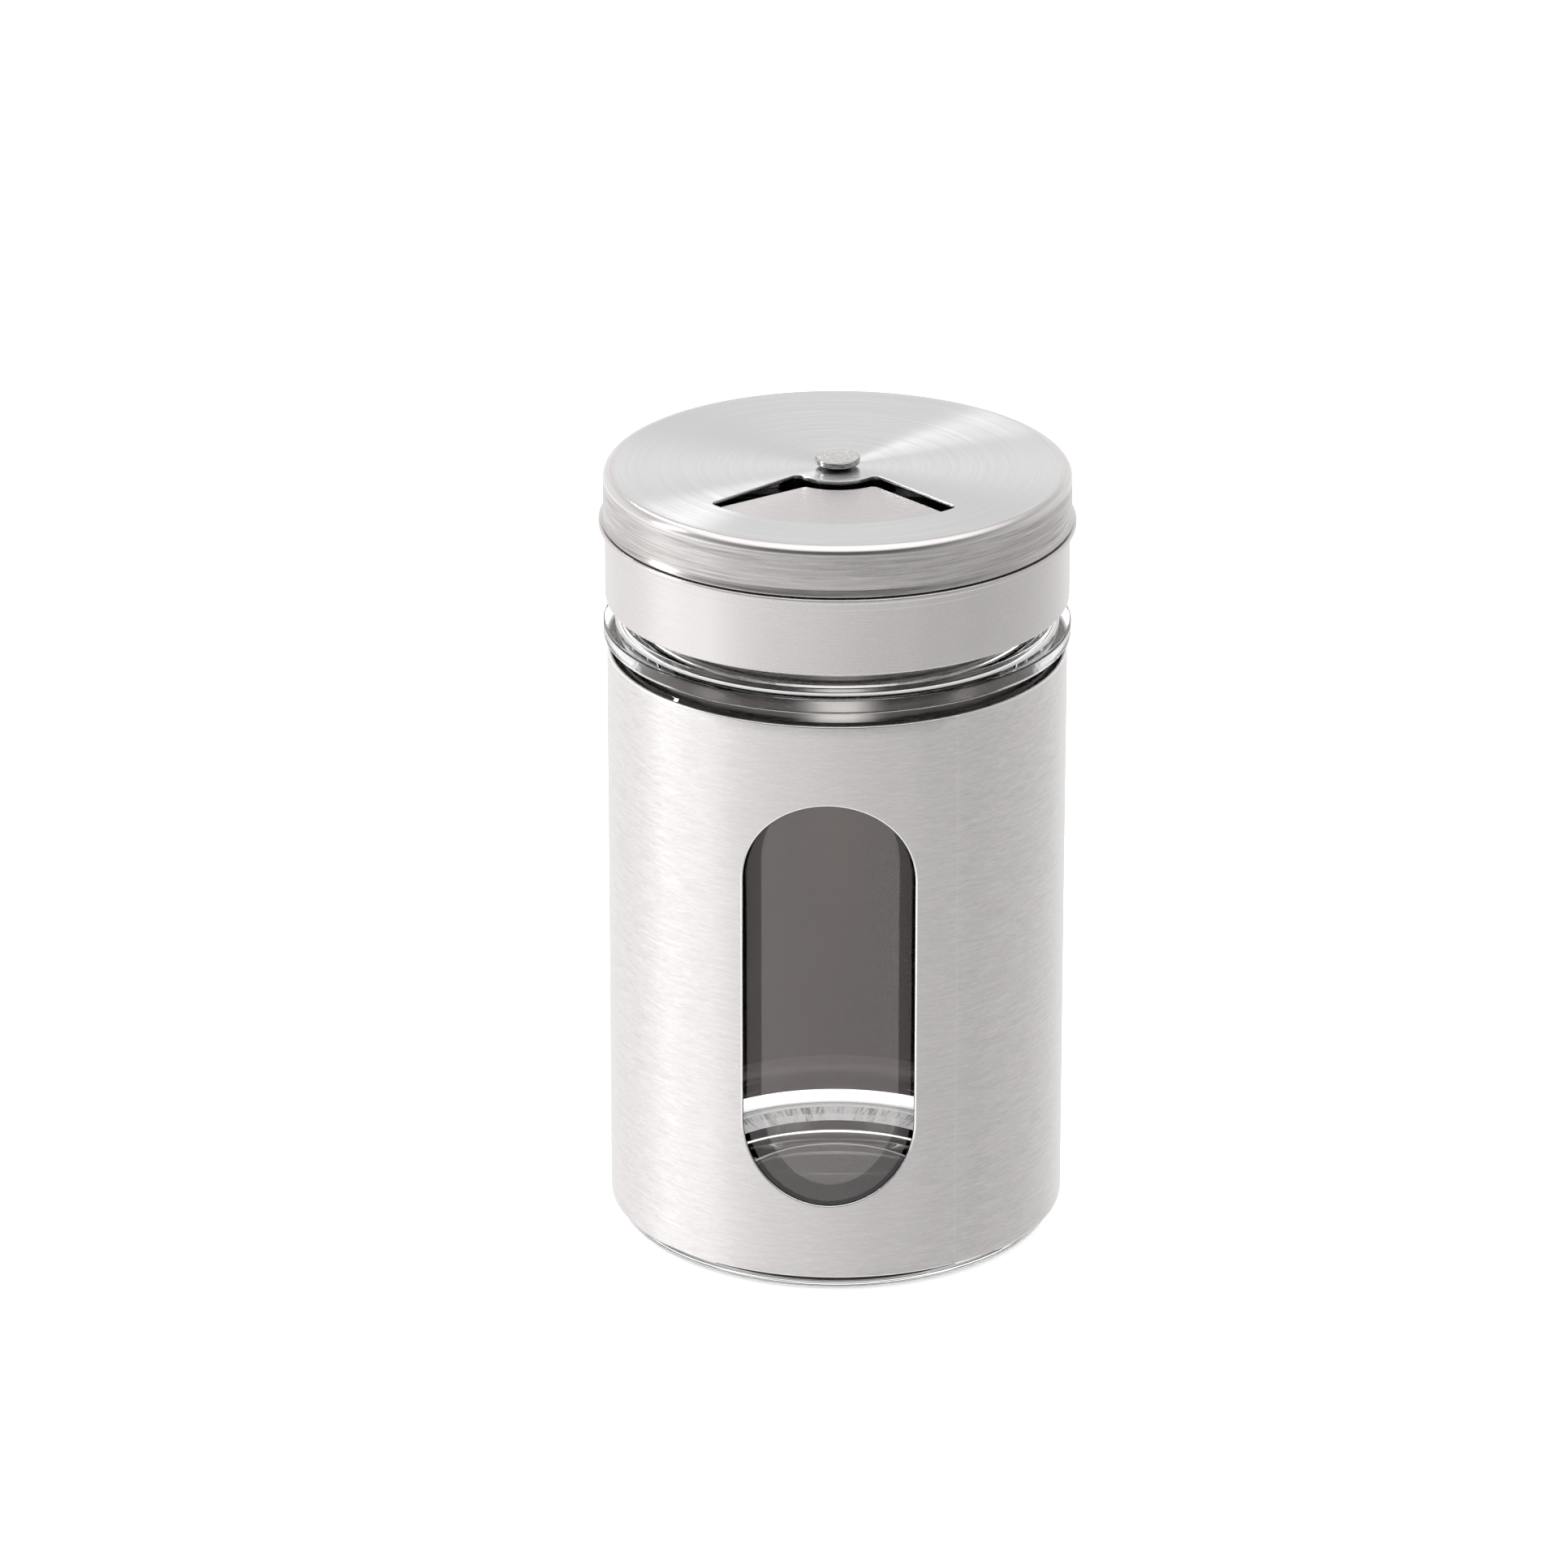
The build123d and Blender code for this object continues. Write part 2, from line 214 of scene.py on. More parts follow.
# Rivet
rivet_radius = 1.4 * MM
rivet_hole_radius = 1.45 * MM
rivet_head_radius = reach("pivot_rivet")
rivet_high = high("pivot_rivet")
rivet_low = low("pivot_rivet")
rivet_head_thickness = 0.75 * MM
rivet_head_under = rivet_high - rivet_head_thickness
rivet_head_crown = 0.03 * MM
rivet_head_taper = 0.06 * MM
rivet_round = 0.2 * MM
rivet_shank_round = 0.05 * MM
rivet_tail_radius = 2.1 * MM
rivet_side_width = 0.22 * MM
rivet_shade_height = 0.1 * MM
rivet_wear = 0.03 * MM
rivet_dents = ((900, 0.02 * MM), (2500, 0.01 * MM))
rivet_step = 0.12 * MM
rivet_columns = 96
washer_low = low("rivet_washer")

# A flat face starts this far from a rounded edge, so that its shading stays flat
flat_margin = 0.08 * MM

# A surface with waves or dents starts this far inside the solid's surface
wave_room = 0.02 * MM

# Round corners that show from close by have more points on their arcs
fine_arc_points = 9

# Steel tints
steel = (0.806, 0.779, 0.771)
cap_steel = (0.75, 0.722, 0.714)
top_steel = (0.825, 0.822, 0.832)
# Painted shade: the dispenser's skirt, one sheet with its top, is painted darker
skirt_painted_shade_steel = (0.59, 0.566, 0.558)
# Painted highlight: near-white steel for the window's edge and the sleeve's upper rim
painted_highlight_edge_steel = (1.0, 0.985, 0.98)
rivet_steel = (0.74, 0.72, 0.7)
# Painted shade: the rivet head's side is darker than its top
rivet_painted_shade_side_steel = (0.42, 0.41, 0.4)
# Painted shade: the sleeve's inside, the same steel, is painted nearly black
painted_shade_inner_steel = (0.036, 0.024, 0.021)
# Painted light: the lighter colour the sleeve's inside takes towards the top
painted_light_inner_steel = (0.5, 0.485, 0.475)
# Painted shade: near black for the screw cap's faces under the dispenser's cover and for the rivet below its
# head
shaded_steel = (0.03, 0.03, 0.03)

# Brushing: fine streaks and coarse streaks, each by count per radian and height, then the contrast of
# their tints and the depth of their bumps
sleeve_grain = (30.0, 0.12 * MM), (8.0, 0.35 * MM), 0.13, 0.0015 * MM
cap_grain = (18.0, 0.12 * MM), (6.0, 0.3 * MM), 0.035, 0.004 * MM
top_grain = (2.0, 0.16 * MM), (0.8, 0.5 * MM), 0.06, 0.005 * MM
skirt_grain = (5.0, 0.14 * MM), (1.6, 0.35 * MM), 0.4, 0.016 * MM
rim_grain = (5.0, 0.14 * MM), (1.6, 0.35 * MM), 0.1, 0.004 * MM
edge_grain = (9.0, 0.12 * MM), (3.0, 0.4 * MM), 0.02, 0.001 * MM
inner_grain = (9.0, 0.12 * MM), (3.0, 0.4 * MM), 0.03, 0.004 * MM
rivet_grain = (5.0, 0.2 * MM), (2.0, 0.35 * MM), 0.3, 0.04 * MM
rivet_side_grain = (3.0, 0.3 * MM), (6.0, 0.2 * MM), 0.6, 0.05 * MM
rivet_shade_grain = (3.0, 0.3 * MM), (6.0, 0.2 * MM), 0.05, 0.01 * MM
rough_swing_share = 0.15
broad_streak_share = 0.5
round_turn_share = 0.25
streak_detail = 2.0
streak_roughness = 0.6
noise_low, noise_high = 0.3, 0.7

# Glass, plastic and rubber
glass_tint = (0.975, 0.97, 0.968)
glass_shine_tint = (1.0, 0.92, 0.9)
glass_wave_scale = 90.0
glass_wave_depth = 0.0003 * MM
glass_wave_contrast = 0.005
glass_bending = 1.5
liner_black = (0.045, 0.045, 0.045)
seal_grey = (0.3, 0.3, 0.29)
plastic_grain_scale = 4000.0
plastic_grain_detail = 3.0
plastic_grain_depth = 0.02 * MM
plastic_grain_strength = 0.4
plastic_grain_contrast = 0.06


# Mesh helpers

def spaced(start, end, steps):
    """Even places from start to end, both ends among them."""
    return [start + (end - start) * step / steps for step in range(steps + 1)]


def rounded(corners, arc_points=7):
    """Points through corners (radius, height, rounding), each corner but the ends rounded by an arc."""
    points = [corners[0][:2]]
    for before, (radius, height, rounding), after in zip(corners, corners[1:], corners[2:]):
        here = Vector((radius, height))
        if rounding == 0:
            points.append((radius, height))
            continue
        back = (Vector(before[:2]) - here).normalized()
        ahead = (Vector(after[:2]) - here).normalized()
        half = back.angle(ahead) / 2
        centre = here + (back + ahead).normalized() * (rounding / sin(half))
        start = here + back * (rounding / tan(half)) - centre
        end = here + ahead * (rounding / tan(half)) - centre
        points += [tuple(centre + spoke) for spoke in spokes(start, end, arc_points)]
    return points + [corners[-1][:2]]


def spokes(start, end, count):
    """Vectors that turn evenly from one to another."""
    sweep = start.angle(end)
    turns = spaced(0, sweep, count - 1)
    return [(start * sin(sweep - turn) + end * sin(turn)) / sin(sweep) for turn in turns]


def divided(points, longest, bottom=-1.0, top=1.0):
    """The same path, with stretches between two heights cut into steps about this long."""
    path = [points[0]]
    for (r0, z0), (r1, z1) in zip(points, points[1:]):
        inside = bottom <= (z0 + z1) / 2 <= top
        steps = max(1, round(hypot(r1 - r0, z1 - z0) / longest)) if inside else 1
        path += list(zip(spaced(r0, r1, steps), spaced(z0, z1, steps)))[1:]
    return path


merge_distance = 0.0005 * MM


class Shell:
    """The vertices and faces of one piece while it is built up."""

    def __init__(self):
        self.vertices, self.faces = [], []

    def add(self, points):
        """New vertices, and their numbers."""
        start = len(self.vertices)
        self.vertices += [tuple(point) for point in points]
        return list(range(start, start + len(points)))

    def bands(self, loops, closed=True):
        """Strips of faces from each row of points to the next, closed round or open."""
        rows = [self.add(loop) for loop in loops]
        for first, second in zip(rows, rows[1:]):
            count = len(first) if closed else len(first) - 1
            for index in range(count):
                after = (index + 1) % len(first)
                self.faces.append((first[index], first[after], second[after], second[index]))

    def fill(self, loops):
        """A flat face inside the first loop of points and outside the others."""
        numbers = [number for loop in loops for number in self.add(loop)]
        for triangle in tessellate_polygon([[Vector(point) for point in loop] for loop in loops]):
            self.faces.append(tuple(numbers[index] for index in triangle))

    def made(self, name, smooth_angle=radians(40)):
        """The mesh object: doubled points merged, normals outwards, smooth up to an angle."""
        mesh = bpy.data.meshes.new(name)
        mesh.from_pydata(self.vertices, [], self.faces)
        form = bmesh.new()
        form.from_mesh(mesh)
        bmesh.ops.remove_doubles(form, verts=form.verts, dist=merge_distance)
        bmesh.ops.recalc_face_normals(form, faces=form.faces)
        open_edges = sum(1 for edge in form.edges if not edge.is_manifold)
        print("PIECE", name, len(form.faces), "faces", open_edges, "open edges")
        form.to_mesh(mesh)
        form.free()
        mesh.shade_smooth()
        mesh.set_sharp_from_angle(angle=smooth_angle)
        piece = bpy.data.objects.new(name, mesh)
        bpy.context.scene.collection.objects.link(piece)
        return piece


def ring(radius, height, columns):
    """Points of a circle about the axis."""
    turns = [FULL * column / columns for column in range(columns)]
    return [(radius * sin(turn), -radius * cos(turn), height) for turn in turns]


def turned(shell, path, columns, shape=None):
    """A path of radius and height turned about the axis. shape may change the radius at a point."""
    loops = []
    for radius, height in path:
        loop = ring(radius, height, columns)
        if shape and radius > 0:
            grown = [shape(radius, height, FULL * column / columns) / radius for column in range(columns)]
            loop = [(x * by, y * by, z) for (x, y, z), by in zip(loop, grown)]
        loops.append(loop)
    shell.bands(loops)


def disc(radius, middle_radius=0.0, middle_turn=0.0, points=48):
    """A round outline as a function of how far it is grown."""
    middle_x, middle_y = middle_radius * sin(middle_turn), -middle_radius * cos(middle_turn)

    def outline(grow):
        return [(middle_x + x, middle_y + y) for x, y, height in ring(radius + grow, 0, points)]
    return outline


def sector(left_turn, left_offset, right_turn, right_offset, inner, outer, corner, placed=0.0):
    """A ring sector about -Y as a function of how far it is grown, turned by placed.

    Each leg passes in front of the axis by its offset, and the four corners are rounded.
    """
    corner_points = 7
    side_points = 40

    def outline(grow):
        near, far, bend = inner - grow, outer + grow, corner + grow
        sides = []
        for hand, turn, offset in ((-1, left_turn, left_offset), (1, right_turn, right_offset)):
            along = Vector((hand * sin(turn), -cos(turn)))
            inward = Vector((-hand * cos(turn), -sin(turn)))
            across = offset - grow + bend
            near_centre = inward * across + along * sqrt((near + bend) ** 2 - across ** 2)
            far_centre = inward * across + along * sqrt((far - bend) ** 2 - across ** 2)
            near_arc = spokes(-near_centre.normalized() * bend, -inward * bend, corner_points)
            far_arc = spokes(-inward * bend, far_centre.normalized() * bend, corner_points)
            sides.append(([near_centre + p for p in near_arc], [far_centre + p for p in far_arc]))
        (left_near, left_far), (right_near, right_far) = sides
        points = spokes(left_near[0], right_near[0], side_points)[:-1] + right_near + right_far[:-1]
        points += spokes(right_far[-1], left_far[-1], side_points)[:-1] + left_far[::-1]
        points += left_near[::-1][:-1]
        c, s = cos(placed), sin(placed)
        return [(p.x * c - p.y * s, p.x * s + p.y * c) for p in points]
    return outline


def lifted(outline, grow, height):
    """An outline's points at a height."""
    return [(x, y, height) for x, y in outline(grow)]


def quarter(count=5):
    """Sine and cosine at each step of a quarter turn."""
    return [(sin(turn), cos(turn)) for turn in spaced(0, pi / 2, count - 1)]


def wall_loops(outline, foot, top, foot_round, top_round):
    """Loops up a wall, from the flat outside its rounded foot to the flat inside its rounded edge."""
    loops = [lifted(outline, foot_round + flat_margin, foot)]
    loops += [lifted(outline, foot_round * (1 - s), foot + foot_round * (1 - c)) for s, c in quarter()]
    loops += [lifted(outline, -top_round * (1 - c), top - top_round * (1 - s)) for s, c in quarter()]
    return loops + [lifted(outline, -top_round - flat_margin, top)]


def hole_loops(outline, top, bottom, rounding):
    """Loops down through a hole in a sheet, from the flat above it to the flat below it."""
    steps = quarter(4)
    loops = [lifted(outline, rounding + flat_margin, top)]
    loops += [lifted(outline, rounding * (1 - s), top - rounding * (1 - c)) for s, c in steps]
    loops += [lifted(outline, rounding * (1 - s), bottom + rounding * (1 - c)) for s, c in steps[::-1]]
    return loops + [lifted(outline, rounding + flat_margin, bottom)]


# Material helpers

def node(tree, kind, inputs=None, **settings):
    """A shader node, with its settings made and its inputs linked or set."""
    made = tree.nodes.new("ShaderNode" + kind)
    for name, value in settings.items():
        setattr(made, name, value)
    for name, value in (inputs or {}).items():
        if isinstance(value, bpy.types.NodeSocket):
            tree.links.new(value, made.inputs[name])
        else:
            made.inputs[name].default_value = value
    return made


def new_material(name):
    """An empty node material and its tree."""
    material = bpy.data.materials.new(name)
    material.use_nodes = True
    material.node_tree.nodes.clear()
    return material, material.node_tree


def spun_place(tree, around, across):
    """Coordinates that run slowly round the axis and quickly across the brushing."""
    place = node(tree, "TexCoord").outputs["Object"]
    flat = node(tree, "VectorMath", {0: place, 1: (1, 1, 0)}, operation="MULTIPLY").outputs[0]
    radius = node(tree, "VectorMath", {0: flat}, operation="LENGTH").outputs["Value"]
    unit = node(tree, "VectorMath", {0: flat}, operation="NORMALIZE").outputs[0]
    height = node(tree, "SeparateXYZ", {0: place}).outputs["Z"]
    run = node(tree, "Math", {0: height, 1: radius}, operation="SUBTRACT").outputs[0]
    split = node(tree, "SeparateXYZ", {0: unit})
    x = node(tree, "Math", {0: split.outputs["X"], 1: around}, operation="MULTIPLY").outputs[0]
    y = node(tree, "Math", {0: split.outputs["Y"], 1: around}, operation="MULTIPLY").outputs[0]
    z = node(tree, "Math", {0: run, 1: across}, operation="MULTIPLY").outputs[0]
    return node(tree, "CombineXYZ", {"X": x, "Y": y, "Z": z}).outputs[0]


def noise_at(tree, place, scale, detail, roughness=0.5):
    """The value of a noise at a place."""
    return node(tree, "TexNoise", {"Vector": place, "Scale": scale, "Detail": detail,
                                   "Roughness": roughness}).outputs["Fac"]


def streaks(tree, around, thickness):
    """Noise drawn out along the brushing: around is streaks per radian, thickness their height."""
    return noise_at(tree, spun_place(tree, around, 1 / thickness), 1.0, streak_detail, streak_roughness)


def spread_to(tree, value, least, most):
    """Noise stretched from its usual middle band to a range."""
    return node(tree, "MapRange", {"Value": value, "From Min": noise_low, "From Max": noise_high,
                                   "To Min": least, "To Max": most}).outputs[0]


def scaled(tree, colour, by):
    """A colour multiplied by a value."""
    return node(tree, "VectorMath", {0: colour, "Scale": by}, operation="SCALE").outputs[0]


def tinted(tree, colour, value, contrast):
    """A colour that noise makes lighter and darker, by up to a share of it."""
    return scaled(tree, colour, spread_to(tree, value, 1 - contrast, 1 + contrast))


def brushed_steel(name, colour, grain, roughness, spread, upper=None):
    """Brushed steel. spread is how far its mirror images are drawn out across the brushing.

    upper is a second colour, the height where it starts and the height where it is full.
    """
    fine, coarse, contrast, depth = grain
    material, tree = new_material(name)
    if upper:
        upper_colour, start, full = upper
        place = node(tree, "SeparateXYZ", {0: node(tree, "TexCoord").outputs["Object"]}).outputs["Z"]
        share = node(tree, "MapRange", {"Value": place, "From Min": start, "From Max": full}).outputs[0]
        added = scaled(tree, [top - bottom for top, bottom in zip(upper_colour, colour)], share)
        colour = node(tree, "VectorMath", {0: colour, 1: added}, operation="ADD").outputs[0]
    thin = streaks(tree, *fine)
    broad = streaks(tree, *coarse)
    both = node(tree, "Mix", {0: broad_streak_share, 2: thin, 3: broad}).outputs[0]
    rough = spread_to(tree, both, roughness * (1 - rough_swing_share), roughness * (1 + rough_swing_share))
    bump = node(tree, "Bump", {"Height": both, "Strength": 1.0, "Distance": depth}).outputs[0]
    tangent = node(tree, "Tangent", direction_type="RADIAL", axis="Z").outputs[0]
    shader = node(tree, "BsdfPrincipled", {
        "Base Color": tinted(tree, colour, both, contrast), "Metallic": 1.0, "Roughness": rough,
        "Anisotropic": spread, "Anisotropic Rotation": round_turn_share, "Tangent": tangent, "Normal": bump})
    node(tree, "OutputMaterial", {"Surface": shader.outputs[0]})
    return material


def clear_glass(name, shine=1.0, clearness=1.0):
    """Pressed glass with faint mould waves. shine is the share of its mirror images that is kept, and
    clearness the share of light that passes through; a low clearness shows its pale tint as a painted
    highlight.
    """
    material, tree = new_material(name)
    place = node(tree, "TexCoord").outputs["Object"]
    waves = noise_at(tree, place, glass_wave_scale, 0.0)
    bump = node(tree, "Bump", {"Height": waves, "Strength": 1.0, "Distance": glass_wave_depth}).outputs[0]
    shader = node(tree, "BsdfPrincipled", {
        "Base Color": tinted(tree, glass_tint, waves, glass_wave_contrast), "Roughness": 0.0,
        "IOR": glass_bending, "Transmission Weight": clearness, "Normal": bump,
        "Specular Tint": [part * shine for part in glass_shine_tint] + [1]})
    node(tree, "OutputMaterial", {"Surface": shader.outputs[0]})
    return material


def plain_plastic(name, colour, roughness):
    """Moulded plastic or rubber with a faint grain."""
    material, tree = new_material(name)
    place = node(tree, "TexCoord").outputs["Object"]
    grain = noise_at(tree, place, plastic_grain_scale, plastic_grain_detail)
    bump = node(tree, "Bump", {"Height": grain, "Strength": plastic_grain_strength,
                               "Distance": plastic_grain_depth}).outputs[0]
    tint = tinted(tree, colour, grain, plastic_grain_contrast)
    shader = node(tree, "BsdfPrincipled", {"Base Color": tint, "Roughness": roughness, "Normal": bump})
    node(tree, "OutputMaterial", {"Surface": shader.outputs[0]})
    return material


def dress(piece, looks, slot, body, *stands_for):
    """A finished piece: its materials, body, and the CAD nodes that it stands for. slot is not used."""
    for look in looks:
        piece.data.materials.append(look)
    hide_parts(*stands_for)
    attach(piece, body)
    return piece


# Glass jar

def thread_reach(height, turn):
    """How far the screw thread stands out of the neck."""
    reach = 0.0
    for lap in (0, 1, 2):
        along = (turn - thread_start_turn) % FULL + FULL * lap
        if along > FULL * thread_turns:
            continue
        middle = thread_low + thread_lead * along / FULL
        side = 1 - (abs(height - middle) - thread_crest / 2) / thread_flank
        side = min(1.0, max(0.0, side))
        ends = min(along, FULL * thread_turns - along) / thread_run_out
        ends = min(1.0, max(0.0, ends))
        share = side * side * (3 - 2 * side) * ends * ends * (3 - 2 * ends)
        reach = max(reach, share * thread_height)
    return reach


def glass_shape(radius, height, turn):
    """The radius of the outer glass: the thread stands out of the neck."""
    on_neck = height > neck_low and radius > (neck_radius + mouth_bore_radius) / 2
    if not on_neck:
        return radius
    return max(radius, neck_radius + thread_reach(height, turn))


glass_path = rounded([
    (0, floor_height, 0),
    (jar_bore_radius, floor_height, floor_round),
    (jar_bore_radius, bore_slope_low, bore_bend_round),
    (mouth_bore_radius, bore_slope_high, bore_bend_round),
    (mouth_bore_radius, mouth_height, mouth_round),
    (neck_radius, mouth_height, mouth_round),
    (neck_radius, neck_low, neck_foot_round),
    (collar_radius, neck_low, collar_round),
    (collar_radius, bead_top, ledge_foot_round),
    (ledge_line_radius, bead_top, 0),
    (bead_radius, bead_top, bead_round),
    (bead_radius, bead_low, bead_round),
    (recess_radius, bead_low, recess_round),
    (recess_radius, sleeve_high, recess_round),
    (jar_radius, sleeve_high - recess_drop, recess_round),
    (jar_radius, 0, foot_round),
    (push_up_radius, 0, push_up_round),
    (push_up_radius * dome_radius_share, push_up_depth * dome_depth_share, dome_round),
    (0, push_up_depth, 0),
], fine_arc_points)
glass_path = divided(glass_path, thread_step, thread_zone_low, thread_zone_high)
glass_path = divided(glass_path, glass_step)
glass = Shell()
turned(glass, glass_path, glass_columns, glass_shape)
glass_looks = [clear_glass("clear_glass"), clear_glass("clear_glass_behind", shine=0.0),
               clear_glass("glass_ledge_painted_highlight", clearness=0.05)]
piece = dress(glass.made("jar_glass"), glass_looks, "clear_glass", "jar", "glass_jar")
for face in piece.data.polygons:
    x, y, z = face.center
    if y > 0 and floor_height + floor_round < z < sleeve_high - clear_back_drop:
        face.material_index = 1
    # Painted highlight: a thin band of the bead's ledge lets little light through, so the glass's pale tint
    # shows as a white line
    if collar_radius < hypot(x, y) < ledge_line_radius and abs(z - bead_top) < ledge_line_height:
        face.material_index = 2


# Sleeve

def window_middle(z):
    """The height on the window's middle line that is nearest to a height."""
    return min(max(z, window_low + window_half), window_high - window_half)


def window_point(x, z, grow):
    """The point of the window's rounded outline that faces a point of the sheet, grown outwards."""
    middle = window_middle(z)
    away = Vector((x, z - middle)).normalized()
    angle = away.angle_signed(Vector((0, -1)), 0.0)
    if burr_start_turn < angle < burr_end_turn and away.y < 0:
        coarse = noise.noise(Vector((angle * coarse_burrs, coarse_burr_row, 0)))
        fine = noise.noise(Vector((angle * fine_burrs, fine_burr_row, 0)))
        grow -= burr_height * max(0.0, coarse + fine_burr_share * fine)
    return away.x * (window_half + grow), middle + away.y * (window_half + grow)


def sleeve_point(turn, height, depth):
    """A point of the rolled sheet: depth runs inwards from its outer face."""
    seam = exp(-((turn - seam_turn) / seam_half) ** 2) if depth == 0 else 0.0
    place = Vector((buckles_round * sin(turn), buckles_round * cos(turn), buckles_up * height))
    buckle = buckle_depth * noise.noise(place)
    radius = sleeve_radius - wave_room - depth - seam_depth * seam + buckle
    return (radius * sin(turn), -radius * cos(turn), height)


sleeve = Shell()
side_steps, foot_steps, crown_steps, back_steps, seam_steps = 130, 240, 120, 150, 12
sleeve_bottom, sleeve_crown = sleeve_low + sleeve_rim_round, sleeve_high - sleeve_rim_round
side_heights = spaced(sleeve_bottom, sleeve_crown, side_steps)
foot_places = spaced(-patch_half, patch_half, foot_steps)
crown_places = spaced(patch_half, -patch_half, crown_steps)
border = [(x, sleeve_bottom) for x in foot_places[:-1]]
border += [(patch_half, z) for z in side_heights[:-1]]
border += [(x, sleeve_crown) for x in crown_places[:-1]]
border += [(-patch_half, z) for z in side_heights[:0:-1]]
patch_shares = [0, 0.02, 0.06, 0.14, 0.25, 0.4, 0.55, 0.7, 0.85, 1]


def patch_ring(share, grow, depth):
    """A loop of the sheet between the window's outline and the patch's border."""
    points = []
    for x, z in border:
        near_x, near_z = window_point(x, z, grow)
        at_x, at_z = near_x + (x - near_x) * share, near_z + (z - near_z) * share
        points.append(sleeve_point(asin(at_x / sleeve_radius), at_z, depth))
    return points


edge = window_edge_round
loops = [patch_ring(share, edge, 0) for share in patch_shares[::-1]]
loops += [patch_ring(0, edge * (1 - s), edge * (1 - c)) for s, c in quarter()]
loops += [patch_ring(0, edge * (1 - s), sleeve_sheet - edge * (1 - c)) for s, c in quarter()[::-1]]
loops += [patch_ring(share, edge, sleeve_sheet) for share in patch_shares]
sleeve.bands(loops)
patch_turn = asin(patch_half / sleeve_radius)
back_turns = spaced(patch_turn, FULL - patch_turn, back_steps)
back_turns += spaced(seam_turn - 2 * seam_half, seam_turn + 2 * seam_half, seam_steps)
back_turns.sort()
for depth in (0, sleeve_sheet):
    back_rows = [[sleeve_point(turn, z, depth) for turn in back_turns] for z in side_heights]
    sleeve.bands(back_rows, closed=False)
foot_turns = [asin(x / sleeve_radius) for x in foot_places[:-1]] + back_turns[:-1]
crown_turns = [asin(x / sleeve_radius) for x in crown_places[::-1]][:-1] + back_turns[:-1]
rim = sleeve_rim_round
rim_steps = [(rim * (1 - c), rim * s) for s, c in quarter()]
rim_steps += [(sleeve_sheet - rim * (1 - c), rim * s) for s, c in quarter()[::-1]]
for turns, height, way in ((foot_turns, sleeve_bottom, -1), (crown_turns, sleeve_crown, 1)):
    sleeve.bands([[sleeve_point(turn, height + way * up, depth) for turn in turns]
                  for depth, up in rim_steps])

# Painted light over the painted shade on the sleeve's inside, lighter towards the top
shine = (painted_light_inner_steel, shine_low, shine_full)
sleeve_looks = [
    brushed_steel("sleeve_steel", steel, sleeve_grain, roughness=0.30, spread=0.75),
    brushed_steel("sleeve_inner_painted_shade", painted_shade_inner_steel, inner_grain, roughness=0.5, spread=0.3),
    brushed_steel("sleeve_inner_painted_shade_to_light", painted_shade_inner_steel, inner_grain, roughness=0.3, spread=0.6, upper=shine),
    brushed_steel("sleeve_edge_painted_highlight", painted_highlight_edge_steel, edge_grain, roughness=0.25, spread=0.0),
]
piece = dress(sleeve.made("sleeve_sheet"), sleeve_looks, "sleeve_steel", "jar", "sleeve")
window_rim = window_half + window_edge_share * window_edge_round
for face in piece.data.polygons:
    x, y, z = face.center
    # The sleeve's inside faces get painted shade, with painted light towards the top
    if hypot(x, y) < sleeve_radius - sleeve_sheet / 2:
        face.material_index = 2 if z > shine_low else 1
    # Painted highlight on the window's rounded edge and the sleeve's upper rim
    elif z > sleeve_crown or (y < 0 and hypot(x, z - window_middle(z)) < window_rim):
        face.material_index = 3

# Screw cap
cap = Shell()
turned(cap, rounded([
    (cap_flat_radius, plate_top, 0),
    (cap_neck_radius, plate_top, cap_shoulder_round),
    (cap_neck_radius, cap_bead_top, cap_neck_foot_round),
    (cap_bead_radius, cap_bead_top, cap_bead_round),
    (cap_bead_radius, cap_bead_low, cap_bead_round),
    (cap_band_radius, cap_band_top, cap_crease_round),
    (cap_band_radius, cap_band_low, cap_crease_round),
    (cap_radius, cap_crease_low, cap_crease_round),
    (cap_radius, cap_edge, cap_edge_round),
    (cap_hem_radius, cap_edge, cap_inner_round),
    (cap_hem_radius, cap_edge + cap_sheet, cap_inner_round),
    (cap_radius - cap_sheet, cap_edge + cap_sheet, cap_inner_round),
    (cap_radius - cap_sheet, cap_crease_low, cap_crease_round),
    (cap_band_radius - cap_sheet, cap_band_low, cap_crease_round),
    (cap_band_radius - cap_sheet, cap_band_top, cap_crease_round),
    (cap_bead_radius - cap_sheet, cap_bead_low, cap_inner_round),
    (cap_bead_radius - cap_sheet, cap_bead_top - cap_sheet, cap_inner_round),
    (cap_neck_radius - cap_sheet, cap_bead_top - cap_sheet, cap_inner_round),
    (cap_neck_radius - cap_sheet, plate_low, cap_shoulder_under_round),
    (cap_flat_radius, plate_low, 0),
]), cap_columns)
panels = [(disc(hub_radius, points=64), [disc(rivet_hole_radius)])]
hole_sets = [([], 0.0), (large_holes, large_hole_radius), (small_holes, small_hole_radius)]
for index, (holes, hole_radius) in enumerate(hole_sets):
    placed = FULL * index / sector_count
    outline = sector(sector_left_turn, sector_left_offset, sector_right_turn, sector_right_offset,
                     sector_inner_radius, sector_outer_radius, sector_corner_round, placed)
    panels.append((outline, [disc(hole_radius, middle, radians(turn) + placed) for middle, turn in holes]))
upper_feet, lower_feet = [], []
sector_under = sector_top - cap_sheet
